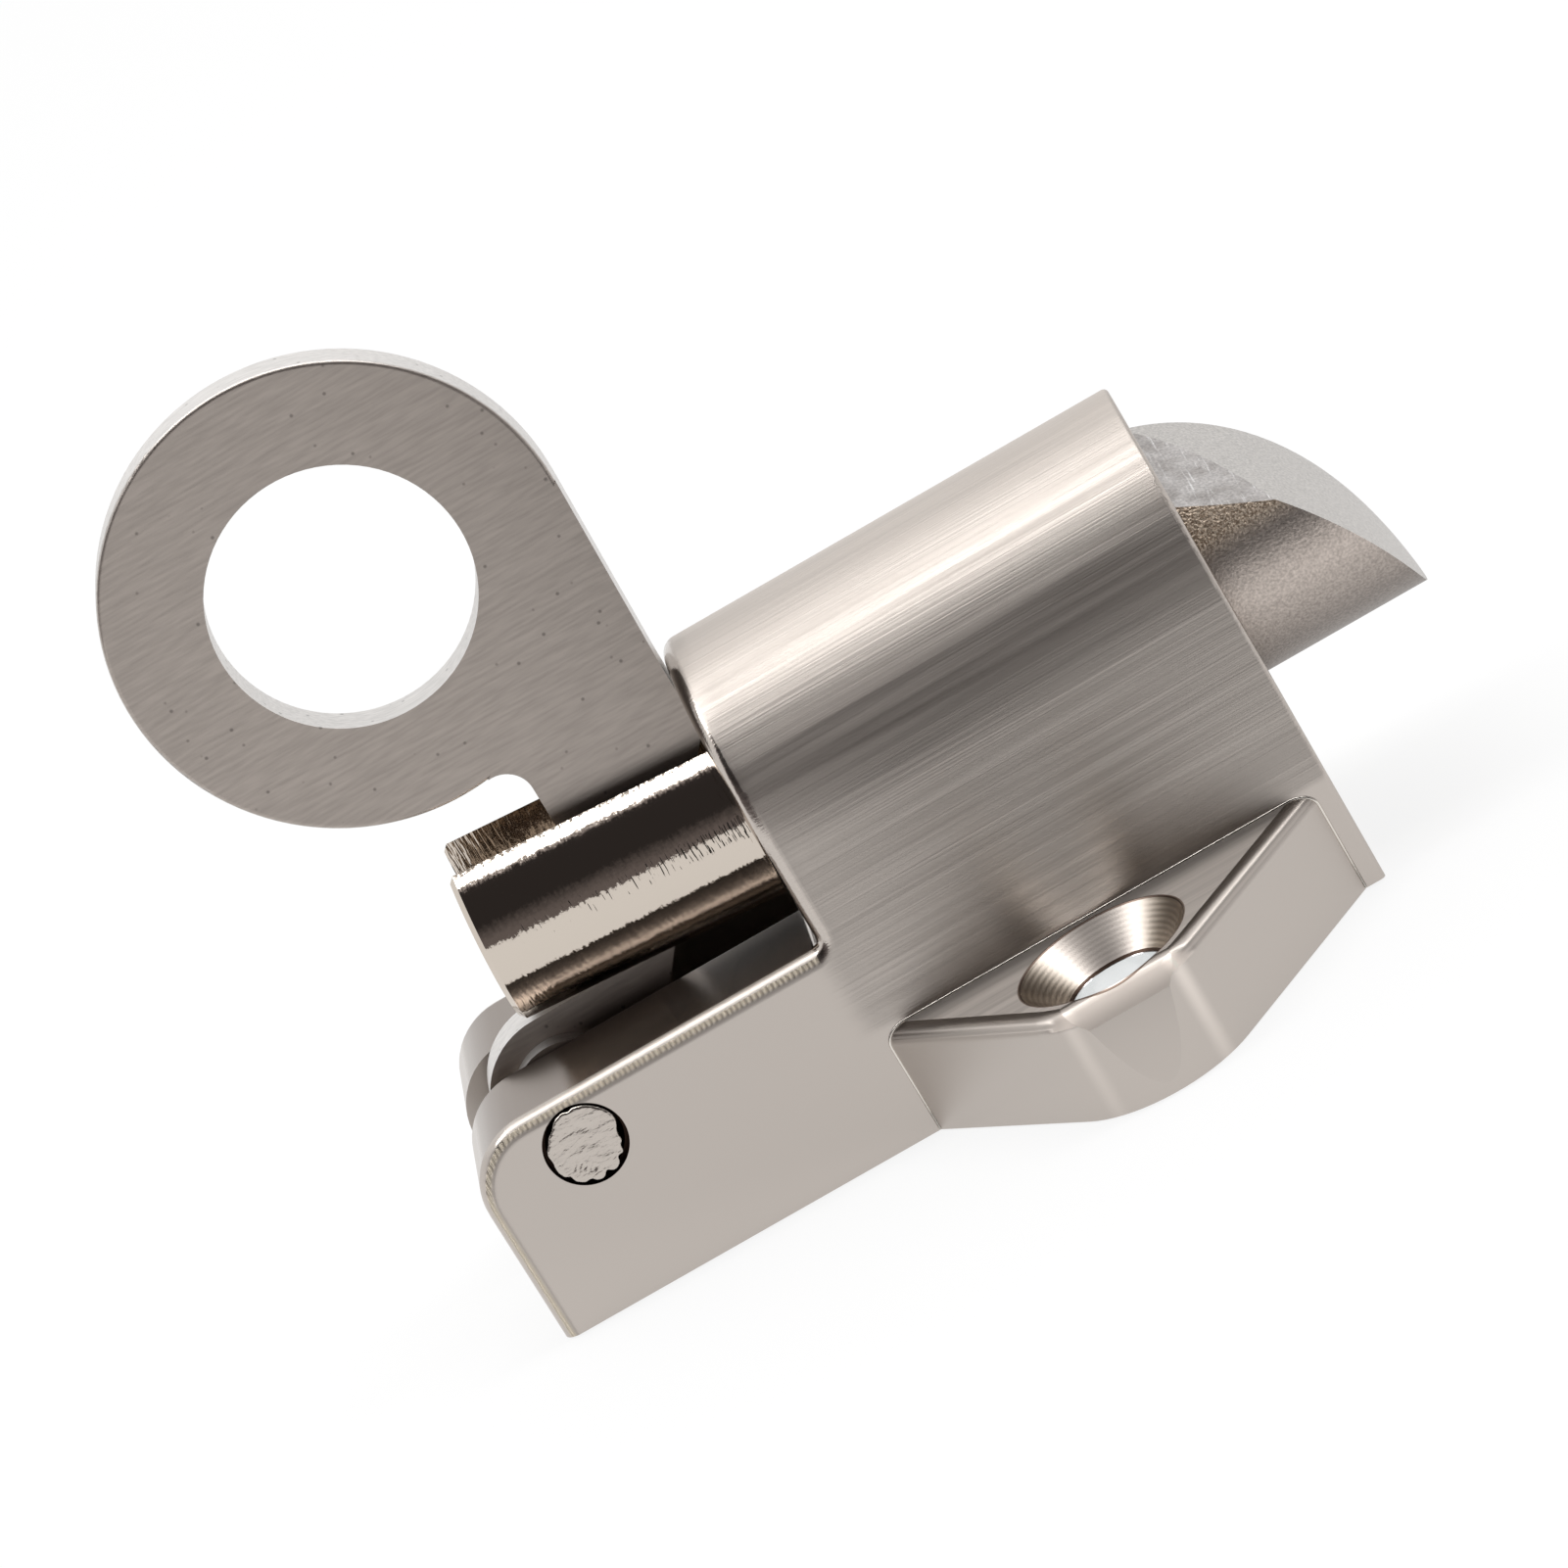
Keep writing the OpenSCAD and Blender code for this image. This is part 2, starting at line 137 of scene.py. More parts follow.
floor_mesh = bpy.data.meshes.new("paper_floor")
corners = np.array([(-1, -1, 0), (1, -1, 0), (1, 1, 0), (-1, 1, 0)]) * FLOOR_SIZE / 2
floor_mesh.from_pydata(corners.tolist(), [], [(0, 1, 2, 3)])
floor = bpy.data.objects.new("paper_floor", floor_mesh)
floor.location.z = -0.0001
bpy.context.scene.collection.objects.link(floor)
paper = bpy.data.materials.new("white_paper")
paper.use_nodes = True
tree = paper.node_tree
tree.nodes.clear()
rays = add(tree, "ShaderNodeLightPath")
seen = add(tree, "ShaderNodeMath", {0: rays.outputs["Is Camera Ray"], 1: rays.outputs["Is Glossy Ray"]},
           operation="MAXIMUM")
matte = add(tree, "ShaderNodeBsdfDiffuse", {"Color": PAPER})
bright = add(tree, "ShaderNodeEmission", {"Color": WHITE, "Strength": 1.0})
share = add(tree, "ShaderNodeMath", {0: seen, 1: GLOW}, operation="MULTIPLY")
blend = add(tree, "ShaderNodeMixShader", {0: share, 1: matte, 2: bright})
add(tree, "ShaderNodeOutputMaterial", {"Surface": blend})
floor_mesh.materials.append(paper)

strip_data = bpy.data.lights.new("strip_light", "AREA")
strip_data.shape = "RECTANGLE"
strip_data.size = STRIP_LENGTH
strip_data.size_y = STRIP_DEPTH
strip_data.energy = pi * STRIP_RADIANCE * STRIP_LENGTH * STRIP_DEPTH
strip = bpy.data.objects.new("strip_light", strip_data)
strip.location = (0, -0.02, STRIP_HEIGHT)
bpy.context.scene.collection.objects.link(strip)

# a black card, out of the camera's sight, gives the barrel its dark band
flag_mesh = bpy.data.meshes.new("black_flag")
corners = [(x, -FLAG_AWAY, z) for x, z in
           ((FLAG_LEFT, 0), (FLAG_RIGHT, 0), (FLAG_RIGHT, FLAG_TOP), (FLAG_LEFT, FLAG_TOP))]
flag_mesh.from_pydata(corners, [], [(0, 1, 2, 3)])
flag = bpy.data.objects.new("black_flag", flag_mesh)
bpy.context.scene.collection.objects.link(flag)
flag.visible_camera = False
flag.visible_diffuse = False
flag.visible_shadow = False
black_card = bpy.data.materials.new("black_card")
black_card.use_nodes = True
shader = black_card.node_tree.nodes["Principled BSDF"]
shader.inputs["Base Color"].default_value = linear("#141414")
shader.inputs["Roughness"].default_value = 0.9
flag_mesh.materials.append(black_card)

# The housing is a zinc die casting, satin nickel plated. A belt has brushed
# its barrel and walls along their length, which smears what they mirror
# across the grain. The belt doesn't reach the cheeks' top or the rear rim,
# so there the plate stays bright.
PLATE = "#c0b8b1"
# painted tan reflection on the ribbed band of the cheeks' soft edges
RIB_TAN_REFLECTION = linear("#e0d5c3")
LEDGE_DARK_REFLECTION = linear("#8f857d")
TARNISH = linear("#c6baab")
SEAT_LINE = linear("#4a3c34")
LIP_LINE = linear("#7a6a60")
HOLE_WALL = linear("#f5f6f6")
# painted shade for the gaps round the pivot pin's heads
GAP_SHADE = linear("#2a1f1a")
# roughness of each zone
BRUSHED = 0.38
SATIN = 0.30
BRIGHT = 0.13
SUNK = 0.34
IN_HOLE = 0.10
SHOULDER = 0.32
RIBBED = 0.42
BUFFED = 0.45
TIP = 0.60
CHEEK_TOP = 0.20
# sizes and places
HOLE_RADIUS = 2.77 * MM
SEAT_WIDTH = 0.14 * MM
LIP_WIDTH = 0.07 * MM
TIP_Y = 19.4 * MM
TIP_CORNERS = radians(31)
# half-width of the painted highlights at the tip's corners
TIP_GLINT_WIDTH = radians(7)
TIP_REACH = 5.6 * MM
LUG_ROOT = 9.85 * MM
CHEEK_FRONT = -13.2 * MM
CHEEK_HEIGHT = 11.2 * MM
BELT_START, BELT_FULL = -14.0 * MM, -11.0 * MM
LUG_HEIGHT = 6.4 * MM
SCREW_Y = 15.1 * MM
SINK_RADIUS = 4.85 * MM
TOOL_STEP = 0.22 * MM
RIB_STEP = 0.31 * MM
# how far from the wall the painted shade on the lugs' top reaches
WALL_SHADE_REACH = 2.6 * MM
PIN_CENTRE = (-28.75 * MM, 9.2 * MM)
PIN_RECESS = 2.32 * MM


def dress(node, material):
    """Gives a CAD node its finish."""
    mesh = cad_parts[node].data
    mesh.materials.clear()
    mesh.materials.append(material)


def new_metal(name, colour, roughness, anisotropy=0.0):
    """A metal material: (material, its node tree, its Principled shader, its object coordinates)."""
    material = bpy.data.materials.new(name)
    material.use_nodes = True
    tree = material.node_tree
    shader = tree.nodes["Principled BSDF"]
    shader.inputs["Metallic"].default_value = 1.0
    shader.inputs["Base Color"].default_value = linear(colour)
    shader.inputs["Roughness"].default_value = roughness
    shader.inputs["Anisotropic"].default_value = anisotropy
    place = add(tree, "ShaderNodeTexCoord").outputs["Object"]
    return material, tree, shader, place


satin, tree, shader, place = new_metal("satin_nickel_plate", PLATE, SATIN, anisotropy=0.8)
split = add(tree, "ShaderNodeSeparateXYZ", {0: place})
along, height = split.outputs["X"], split.outputs["Z"]
sideways = add(tree, "ShaderNodeMath", {0: split.outputs["Y"]}, operation="ABSOLUTE")

# the belt reached what stands above the lugs and in front of the cheeks
belt_x = add(tree, "ShaderNodeMapRange",
             {"Value": along, "From Min": BELT_START, "From Max": BELT_FULL})
belt_z = add(tree, "ShaderNodeMapRange",
             {"Value": height, "From Min": LUG_HEIGHT - 0.1 * MM, "From Max": LUG_HEIGHT + 0.5 * MM})
belt = add(tree, "ShaderNodeMath", {0: belt_x, 1: belt_z}, operation="MULTIPLY")
normal = add(tree, "ShaderNodeNewGeometry").outputs["Normal"]
facing = add(tree, "ShaderNodeSeparateXYZ", {0: normal})
side_on = add(tree, "ShaderNodeMath", {0: facing.outputs["Y"]}, operation="ABSOLUTE")
facing_x, facing_z = facing.outputs["X"], facing.outputs["Z"]

# the rear rim's soft edge, above the cheeks
rim_x = add(tree, "ShaderNodeMapRange", {"Value": facing_x, "From Min": -0.12, "From Max": -0.3})
rim_z = add(tree, "ShaderNodeMapRange",
            {"Value": height, "From Min": CHEEK_HEIGHT - 0.1 * MM, "From Max": CHEEK_HEIGHT + 0.3 * MM})
rim = add(tree, "ShaderNodeMath", {0: rim_x, 1: rim_z}, operation="MULTIPLY")

# the cheeks' soft outer edges were milled in short ribs, which drift a
# little from an even step
on_cheek = add(tree, "ShaderNodeMath", {0: along, 1: CHEEK_FRONT}, operation="LESS_THAN")
milled = add(tree, "ShaderNodeMapRange", {"Value": side_on, "From Min": 0.72, "From Max": 0.78})
faded = add(tree, "ShaderNodeMapRange", {"Value": side_on, "From Min": 0.999, "From Max": 0.97})
ridged = add(tree, "ShaderNodeMapRange", {"Value": side_on, "From Min": 0.97, "From Max": 0.90})
milled = add(tree, "ShaderNodeMath", {0: milled, 1: faded}, operation="MULTIPLY")
milled = add(tree, "ShaderNodeMath", {0: milled, 1: on_cheek}, operation="MULTIPLY")
drift = add(tree, "ShaderNodeTexNoise", {"Vector": place, "Scale": 900.0, "Detail": 1.0})
ribs = add(tree, "ShaderNodeMath", {0: along, 1: 2 * pi / RIB_STEP}, operation="MULTIPLY")
ribs = add(tree, "ShaderNodeMath", {0: drift, 1: 4.0, 2: ribs}, operation="MULTIPLY_ADD")
ribs = add(tree, "ShaderNodeMath", {0: ribs}, operation="SINE")
ridged = add(tree, "ShaderNodeMath", {0: ridged, 1: milled}, operation="MULTIPLY")
ribs = add(tree, "ShaderNodeMath", {0: ribs, 1: ridged}, operation="MULTIPLY")
shoulder = add(tree, "ShaderNodeMapRange", {"Value": side_on, "From Min": 0.02, "From Max": 0.2})
shoulder = add(tree, "ShaderNodeMath", {0: shoulder, 1: on_cheek}, operation="MULTIPLY")
shoulder = add(tree, "ShaderNodeMath", {0: shoulder, 1: faded}, operation="MULTIPLY")

# the lugs' top and its soft edge were buffed loosely
beside = add(tree, "ShaderNodeMath", {0: sideways, 1: LUG_ROOT}, operation="GREATER_THAN")
top_face = add(tree, "ShaderNodeMath", {0: facing_z, 1: 0.995}, operation="GREATER_THAN")
buffed = add(tree, "ShaderNodeMapRange", {"Value": facing_z, "From Min": 0.3, "From Max": 0.45})
crest = add(tree, "ShaderNodeMapRange", {"Value": facing_z, "From Min": 0.7, "From Max": 0.5})
buffed = add(tree, "ShaderNodeMath", {0: buffed, 1: crest}, operation="MULTIPLY")
buffed = add(tree, "ShaderNodeMath", {0: buffed, 1: top_face}, operation="ADD")
buffed = add(tree, "ShaderNodeMath", {0: buffed, 1: beside}, operation="MULTIPLY")

# the ledge on top of each cheek was left as it was plated. Its colour is painted darker:
# a painted dark reflection of the rod above it
cheek_top = add(tree, "ShaderNodeMapRange", {"Value": facing_z, "From Min": 0.55, "From Max": 0.98},
                interpolation_type="SMOOTHSTEP")
cheek_top = add(tree, "ShaderNodeMath", {0: cheek_top, 1: on_cheek}, operation="MULTIPLY")
unbroken = add(tree, "ShaderNodeMath", {0: 1.0, 1: shoulder}, operation="SUBTRACT")
cheek_top = add(tree, "ShaderNodeMath", {0: cheek_top, 1: unbroken}, operation="MULTIPLY")

# each lug's tip was dressed with coarser paper
tip = add(tree, "ShaderNodeMapRange",
          {"Value": sideways, "From Min": TIP_Y, "From Max": TIP_Y + 0.5 * MM})
tip_edge = add(tree, "ShaderNodeMapRange", {"Value": facing_z, "From Min": 0.105, "From Max": 0.2})
tip_top = add(tree, "ShaderNodeMapRange", {"Value": facing_z, "From Min": 0.98, "From Max": 0.8})
tip = add(tree, "ShaderNodeMath", {0: tip, 1: tip_edge}, operation="MULTIPLY")
tip = add(tree, "ShaderNodeMath", {0: tip, 1: tip_top}, operation="MULTIPLY")

# The wide lobe lies across the scratches. On the sides that weren't brushed
# it lies along the bolt, and the small Y and Z keep it off the end faces'
# own normal.
crossed = add(tree, "ShaderNodeMath", {0: belt, 1: milled}, operation="MAXIMUM")
crossed = add(tree, "ShaderNodeMath", {0: crossed, 1: buffed}, operation="MAXIMUM")
crossed = add(tree, "ShaderNodeMath", {0: crossed, 1: cheek_top}, operation="MAXIMUM")
crossed = add(tree, "ShaderNodeMath", {0: crossed, 1: shoulder}, operation="MAXIMUM")
crossed = add(tree, "ShaderNodeMath", {0: crossed, 1: tip}, operation="MAXIMUM")
across = add(tree, "ShaderNodeVectorMath", {0: normal, 1: (1, 0, 0)}, operation="CROSS_PRODUCT")
across = add(tree, "ShaderNodeVectorMath", {0: across, 1: (0, 0.001, 0.002)}, operation="ADD")
grain = add(tree, "ShaderNodeMix", {"Factor": crossed, "A": (1, 0.002, 0.003), "B": across},
            data_type="VECTOR")
tree.links.new(grain.outputs["Result"], shader.inputs["Tangent"])

# scratches a tenth of a millimetre apart and up to 15 mm long, in broader
# bands half a millimetre wide
fine = add(tree, "ShaderNodeMapping", {"Vector": place, "Scale": (70, 9000, 9000)})
fine = add(tree, "ShaderNodeTexNoise", {"Vector": fine, "Scale": 1.0, "Detail": 2.0})
bands = add(tree, "ShaderNodeMapping", {"Vector": place, "Scale": (45, 1800, 1800)})
bands = add(tree, "ShaderNodeTexNoise", {"Vector": bands, "Scale": 1.0, "Detail": 2.0})

# turned rings in the countersinks, darker at their two ends
from_hole = add(tree, "ShaderNodeMath", {0: sideways, 1: SCREW_Y}, operation="SUBTRACT")
plan = add(tree, "ShaderNodeCombineXYZ", {0: along, 1: from_hole, 2: 0.0})
radius = add(tree, "ShaderNodeVectorMath", {0: plan}, operation="LENGTH").outputs["Value"]
sunk = add(tree, "ShaderNodeMath", {0: radius, 1: SINK_RADIUS}, operation="LESS_THAN")
turns = add(tree, "ShaderNodeMath", {0: radius, 1: 2 * pi / TOOL_STEP}, operation="MULTIPLY")
turns = add(tree, "ShaderNodeMath", {0: turns}, operation="SINE")
in_hole = add(tree, "ShaderNodeMath", {0: radius, 1: HOLE_RADIUS}, operation="LESS_THAN")
from_side = add(tree, "ShaderNodeSeparateXYZ", {0: plan}).outputs["X"]
from_side = add(tree, "ShaderNodeMath", {0: from_side, 1: radius}, operation="DIVIDE")
from_side = add(tree, "ShaderNodeMath", {0: from_side}, operation="ABSOLUTE")
tarnish = add(tree, "ShaderNodeMapRange", {"Value": from_side, "From Min": 0.55, "From Max": 0.85})
tarnish = add(tree, "ShaderNodeMath", {0: tarnish, 1: sunk}, operation="MULTIPLY")
rings = add(tree, "ShaderNodeMath", {0: tarnish, 1: 1.0, 2: 0.12}, operation="MULTIPLY_ADD")
rings = add(tree, "ShaderNodeMath", {0: rings, 1: turns}, operation="MULTIPLY")
rings = add(tree, "ShaderNodeMath", {0: rings, 1: sunk}, operation="MULTIPLY")

# each zone's roughness over the one before
ground = add(tree, "ShaderNodeMix", {"Factor": belt, "A": SATIN, "B": BRUSHED})
ground = add(tree, "ShaderNodeMix", {"Factor": shoulder, "A": ground, "B": SHOULDER})
ground = add(tree, "ShaderNodeMix", {"Factor": cheek_top, "A": ground, "B": CHEEK_TOP})
ground = add(tree, "ShaderNodeMix", {"Factor": buffed, "A": ground, "B": BUFFED})
ground = add(tree, "ShaderNodeMix", {"Factor": tip, "A": ground, "B": TIP})
ground = add(tree, "ShaderNodeMix", {"Factor": milled, "A": ground, "B": RIBBED})
ground = add(tree, "ShaderNodeMath", {0: ribs, 1: 0.08, 2: ground}, operation="MULTIPLY_ADD")
ground = add(tree, "ShaderNodeMix", {"Factor": sunk, "A": ground, "B": SUNK})
ground = add(tree, "ShaderNodeMix", {"Factor": in_hole, "A": ground, "B": IN_HOLE})
ground = add(tree, "ShaderNodeMix", {"Factor": rim, "A": ground, "B": BRIGHT})
wander = add(tree, "ShaderNodeMapRange",
             {"Value": bands, "From Min": 0.3, "From Max": 0.7, "To Min": -0.05, "To Max": 0.05})
rough = add(tree, "ShaderNodeMath", {0: wander, 1: belt, 2: ground}, operation="MULTIPLY_ADD")
tree.links.new(rough.outputs[0], shader.inputs["Roughness"])

tone = add(tree, "ShaderNodeMapRange",
           {"Value": fine, "From Min": 0.3, "From Max": 0.7, "To Min": 0.93, "To Max": 1.07})
tone = add(tree, "ShaderNodeMix", {"Factor": belt, "A": 1.0, "B": tone})

# painted highlights: bright streaks at the corners on each side of the flat dressed on the lug's tip
bearing = add(tree, "ShaderNodeMath", {0: from_hole, 1: along}, operation="ARCTAN2")
bearing = add(tree, "ShaderNodeMath", {0: bearing, 1: pi / 2}, operation="SUBTRACT")
bearing = add(tree, "ShaderNodeMath", {0: bearing}, operation="ABSOLUTE")
bearing = add(tree, "ShaderNodeMath", {0: bearing, 1: TIP_CORNERS}, operation="SUBTRACT")
bearing = add(tree, "ShaderNodeMath", {0: bearing}, operation="ABSOLUTE")
corner_glints = add(tree, "ShaderNodeMapRange",
             {"Value": bearing, "From Min": TIP_GLINT_WIDTH, "From Max": 0.0, "To Max": 0.5},
             interpolation_type="SMOOTHSTEP")
outside = add(tree, "ShaderNodeMath", {0: radius, 1: TIP_REACH}, operation="GREATER_THAN")
corner_glints = add(tree, "ShaderNodeMath", {0: corner_glints, 1: outside}, operation="MULTIPLY")
upward = add(tree, "ShaderNodeMapRange", {"Value": height, "From Max": LUG_HEIGHT, "To Min": 0.35})
forward = add(tree, "ShaderNodeMapRange",
              {"Value": along, "From Min": -MM, "From Max": MM, "To Min": 0.5})
corner_glints = add(tree, "ShaderNodeMath", {0: corner_glints, 1: upward}, operation="MULTIPLY")
corner_glints = add(tree, "ShaderNodeMath", {0: corner_glints, 1: forward}, operation="MULTIPLY")
tone = add(tree, "ShaderNodeMath", {0: tone, 1: corner_glints}, operation="ADD")
tone = add(tree, "ShaderNodeMath", {0: tip, 1: 0.5, 2: tone}, operation="MULTIPLY_ADD")
# the ribs are also painted lighter and darker in turn: painted shading of their relief
tone = add(tree, "ShaderNodeMath", {0: ribs, 1: 0.12, 2: tone}, operation="MULTIPLY_ADD")
tone = add(tree, "ShaderNodeMath", {0: rings, 1: 0.10, 2: tone}, operation="MULTIPLY_ADD")

# painted shade: the lugs' top is painted darker towards the wall, in streaks
wall_shade_and_streaks = add(tree, "ShaderNodeMapRange",
           {"Value": sideways, "From Min": LUG_ROOT, "From Max": LUG_ROOT + WALL_SHADE_REACH,
            "To Min": 0.5, "To Max": 1.0}, interpolation_type="SMOOTHSTEP")
streaks = add(tree, "ShaderNodeMapRange",
              {"Value": bands, "From Min": 0.35, "From Max": 0.65, "To Min": 0.87, "To Max": 1.1})
wall_shade_and_streaks = add(tree, "ShaderNodeMath", {0: wall_shade_and_streaks, 1: streaks}, operation="MULTIPLY")
lug_top = add(tree, "ShaderNodeMath", {0: top_face, 1: beside}, operation="MULTIPLY")
wall_shade_and_streaks = add(tree, "ShaderNodeMix", {"Factor": lug_top, "A": 1.0, "B": wall_shade_and_streaks})
tone = add(tree, "ShaderNodeMath", {0: tone, 1: wall_shade_and_streaks}, operation="MULTIPLY")

# the ribbed band is painted a lighter tan: a painted reflection
plate = add(tree, "ShaderNodeMix", {"Factor": ridged, "A": linear(PLATE), "B": RIB_TAN_REFLECTION},
            data_type="RGBA").outputs["Result"]
# painted dark reflection on the cheeks' top ledge
plate = add(tree, "ShaderNodeMix", {"Factor": cheek_top, "A": plate, "B": LEDGE_DARK_REFLECTION},
            data_type="RGBA").outputs["Result"]
plate = add(tree, "ShaderNodeMix", {"Factor": tarnish, "A": plate, "B": TARNISH},
            data_type="RGBA").outputs["Result"]
seat = add(tree, "ShaderNodeMath", {0: radius, 1: HOLE_RADIUS, 2: SEAT_WIDTH}, operation="COMPARE")
plate = add(tree, "ShaderNodeMix", {"Factor": seat, "A": plate, "B": SEAT_LINE},
            data_type="RGBA").outputs["Result"]
lip = add(tree, "ShaderNodeMath", {0: radius, 1: SINK_RADIUS, 2: LIP_WIDTH}, operation="COMPARE")
plate = add(tree, "ShaderNodeMix", {"Factor": lip, "A": plate, "B": LIP_LINE},
            data_type="RGBA").outputs["Result"]
plate = add(tree, "ShaderNodeMix", {"Factor": in_hole, "A": plate, "B": HOLE_WALL},
            data_type="RGBA").outputs["Result"]
# painted shade: the housing round the pivot pin's axis, out to the counterbores' edge, is painted near
# black
gap_shade = add(tree, "ShaderNodeVectorMath", {0: place, 1: (PIN_CENTRE[0], 0, PIN_CENTRE[1])},
            operation="SUBTRACT")
gap_shade = add(tree, "ShaderNodeVectorMath", {0: gap_shade, 1: (1, 0, 1)}, operation="MULTIPLY")
gap_shade = add(tree, "ShaderNodeVectorMath", {0: gap_shade}, operation="LENGTH").outputs["Value"]
gap_shade = add(tree, "ShaderNodeMath", {0: gap_shade, 1: PIN_RECESS}, operation="LESS_THAN")
plate = add(tree, "ShaderNodeMix", {"Factor": gap_shade, "A": plate, "B": GAP_SHADE},
            data_type="RGBA").outputs["Result"]
colour = add(tree, "ShaderNodeVectorMath", {0: plate, "Scale": tone}, operation="SCALE")
tree.links.new(colour.outputs[0], shader.inputs["Base Color"])

scratch = add(tree, "ShaderNodeMath", {0: fine, 1: belt}, operation="MULTIPLY")
bump = add(tree, "ShaderNodeBump", {"Strength": 0.8, "Distance": 0.02 * MM, "Height": scratch})
bump = add(tree, "ShaderNodeBump",
           {"Strength": 0.25, "Distance": 0.01 * MM, "Height": rings, "Normal": bump})
bump = add(tree, "ShaderNodeBump",
           {"Strength": 0.9, "Distance": 0.05 * MM, "Height": ribs, "Normal": bump})
tree.links.new(bump.outputs[0], shader.inputs["Normal"])
dress("housing", satin)

# A fine raised line runs round the root of each lug, where the two halves of
# the casting die met. The belt has worn it bright.
LINE_RADIUS = 0.09 * MM
WALL_Y = 9.75 * MM
LUG_ENDS = (-12.3 * MM, 13.5 * MM)
LUG_BENDS = (1.29 * MM, 1.37 * MM)
LUG_EDGE = 1.0 * MM


def root_line(side, sides):
    """A round bead carried along the lug's root: up the wall, round the lug's soft top edge as a
    quarter ellipse, along the wall and down again. Each ring of the bead lies across the path."""
    bend = np.linspace(0, pi / 2, 9)
    rise = LUG_HEIGHT - LUG_EDGE + LUG_EDGE * np.sin(bend)
    aft = np.stack([LUG_ENDS[0] + LUG_BENDS[0] * (1 - np.cos(bend)), rise], axis=-1)
    fore = np.stack([LUG_ENDS[1] - LUG_BENDS[1] * (1 - np.cos(bend)), rise], axis=-1)[::-1]
    path = np.concatenate([[(LUG_ENDS[0], LINE_RADIUS)], aft, fore, [(LUG_ENDS[1], LINE_RADIUS)]])
    ahead = np.gradient(path, axis=0)
    ahead /= np.linalg.norm(ahead, axis=-1, keepdims=True)
    angle = np.linspace(0, 2 * pi, sides, endpoint=False)[None, :]
    out = LINE_RADIUS * np.cos(angle)
    x = path[:, :1] - ahead[:, 1:] * out
    z = path[:, 1:] + ahead[:, :1] * out
    y = side * WALL_Y + LINE_RADIUS * np.sin(angle) + 0 * x
    return np.stack([x, y, z], axis=-1)


def closed_tube(name, points, poles=None):
    """A mesh from rings of points, with quads between neighbouring rings. Its two ends are closed by
    one face each, or by triangles to the two poles where those are given."""
    count, sides = points.shape[:2]
    rows = np.arange(count - 1)[:, None] * sides
    here, there = np.arange(sides)[None, :], (np.arange(sides)[None, :] + 1) % sides
    quads = np.stack([rows + there, rows + here, rows + sides + here, rows + sides + there], axis=-1)
    faces = quads.reshape(-1, 4).tolist()
    corners = points.reshape(-1, 3)
    first, last = np.arange(sides), (count - 1) * sides + np.arange(sides)
    if poles is None:
        faces += [first.tolist(), last[::-1].tolist()]
    else:
        size = len(corners)
        corners = np.concatenate([corners, poles])
        faces += [[a, b, size] for a, b in zip(first, np.roll(first, -1))]
        faces += [[b, a, size + 1] for a, b in zip(last, np.roll(last, -1))]
    mesh = bpy.data.meshes.new(name)
    mesh.from_pydata(corners.tolist(), [], faces)
    mesh.shade_smooth()
    piece = bpy.data.objects.new(name, mesh)
    bpy.context.scene.collection.objects.link(piece)
    return piece


worn, tree, shader, place = new_metal("worn_nickel_plate", "#ded8d0", 0.22)
# nicks half a millimetre apart
nicks = add(tree, "ShaderNodeTexNoise", {"Vector": place, "Scale": 1800.0, "Detail": 2.0})
bump = add(tree, "ShaderNodeBump", {"Strength": 0.5, "Distance": 0.05 * MM, "Height": nicks})
tree.links.new(bump.outputs[0], shader.inputs["Normal"])
for side, name in ((-1, "near_root_line"), (1, "far_root_line")):
    line = closed_tube(name, root_line(side, sides=10))
    line.data.materials.append(worn)
    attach(line, "housing")

# The latch bolt is turned from steel and bead-blasted before its matte
# nickel plate, which leaves a fine even grit. The blast bit deeper along the
# top of its round side, and the small flat beside the ramp was filed.
FLAT_NORMAL = (0.3535, -0.1689, 0.9201)
BLASTED = "#c9beb6"
RAMP = linear("#c4c0bc")
GRIT_DARK, GRIT_LIGHT = linear("#a08e7c"), linear("#ecdcca")
GROUND_DARK, GROUND_LIGHT = linear("#a49f9c"), linear("#bdb9b7")
FILE_MARK = linear("#dedcdb")
SMOOTH = 0.42
COARSE = 0.58

blasted, tree, shader, place = new_metal("blasted_nickel_plate", BLASTED, SMOOTH)
normal = add(tree, "ShaderNodeNewGeometry").outputs["Normal"]
facing = add(tree, "ShaderNodeSeparateXYZ", {0: normal})

# grains of 0.15 mm, coarser than the real grit so that they show
grit = add(tree, "ShaderNodeTexNoise", {"Vector": place, "Scale": 6500.0, "Detail": 2.0})
on_flat = add(tree, "ShaderNodeVectorMath", {0: normal, 1: FLAT_NORMAL}, operation="DOT_PRODUCT")
on_flat = add(tree, "ShaderNodeMath", {0: on_flat.outputs["Value"], 1: 0.999}, operation="GREATER_THAN")
on_ramp = add(tree, "ShaderNodeMapRange",
              {"Value": facing.outputs["X"], "From Min": 0.02, "From Max": 0.06})
round_side = add(tree, "ShaderNodeMath", {0: 1.0, 1: on_ramp}, operation="SUBTRACT")
coarse = add(tree, "ShaderNodeMapRange",
             {"Value": facing.outputs["Z"], "From Min": 0.17, "From Max": 0.30})
coarse = add(tree, "ShaderNodeMath", {0: coarse, 1: round_side}, operation="MULTIPLY")

